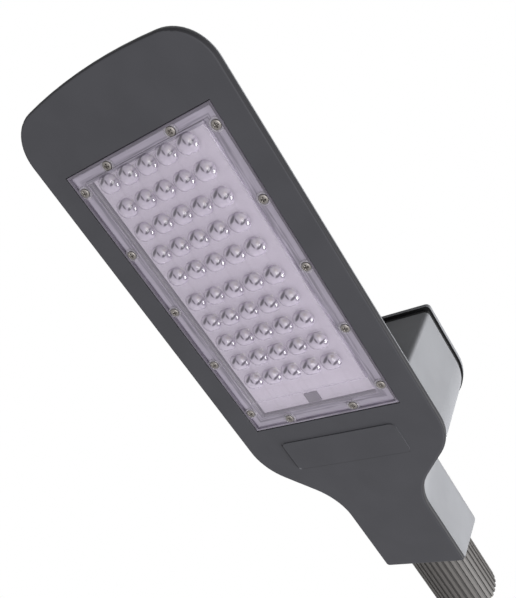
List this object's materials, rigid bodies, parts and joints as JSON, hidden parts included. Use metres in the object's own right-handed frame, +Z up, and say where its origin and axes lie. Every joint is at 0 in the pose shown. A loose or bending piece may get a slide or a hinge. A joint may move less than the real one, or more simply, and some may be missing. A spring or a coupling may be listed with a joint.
{
  "type": "street light",
  "caption": "Flat LED street light head: dark finned face plate with a lens moulding, pale driver box with a pole socket, and the ribbed arm tube it is clamped on.",
  "frame": {"origin": "on the arm tube's axis, where the leaning plane of the socket's mouth crosses it", "axes": "+Y from the nose to the pole along the tube's axis, +Z up, +X across; the lenses face -Z"},
  "size_m": [0.1434, 0.474, 0.0787],
  "materials": {
    "dark_paint": "satin dark grey powder coat on die-cast aluminium",
    "light_paint": "semi-gloss silver grey powder coat on die-cast aluminium",
    "black_rubber": "matt black",
    "silicone": "matt grey silicone",
    "clear_moulding": "clear moulded optical plastic",
    "board_white": "white solder mask",
    "chip_yellow": "phosphor cover",
    "dark_plastic": "dark moulded plastic",
    "screw_steel": "bare stainless steel",
    "driver_metal": "anodised extrusion",
    "terminal_plastic": "pale moulded plastic",
    "brass": "bare",
    "tube_metal": "mill-finish ribbed extrusion"
  },
  "bodies": {
    "root": {"body_plate": "dark_paint", "driver_housing": "light_paint", "driver_lid": "light_paint", "lid_gasket": "black_rubber", "lid_screws": "screw_steel", "lens_plate": "clear_moulding", "lens_gasket": "silicone", "lens_screws": "screw_steel", "led_board": "board_white", "thermal_sheet": "silicone", "led_chips": "chip_yellow", "board_connector": "dark_plastic", "wire_grommet": "black_rubber", "housing_gasket": "black_rubber", "housing_screws": "screw_steel", "led_driver": "driver_metal", "driver_brackets": "screw_steel", "driver_screws": "screw_steel", "terminal_block": "terminal_plastic", "terminal_screws": "brass", "cable_grommet": "black_rubber", "earth_screw": "brass", "clamp_bolts": "screw_steel", "clamp_nuts": "screw_steel", "arm_tube": "tube_metal"}
  },
  "joints": []
}
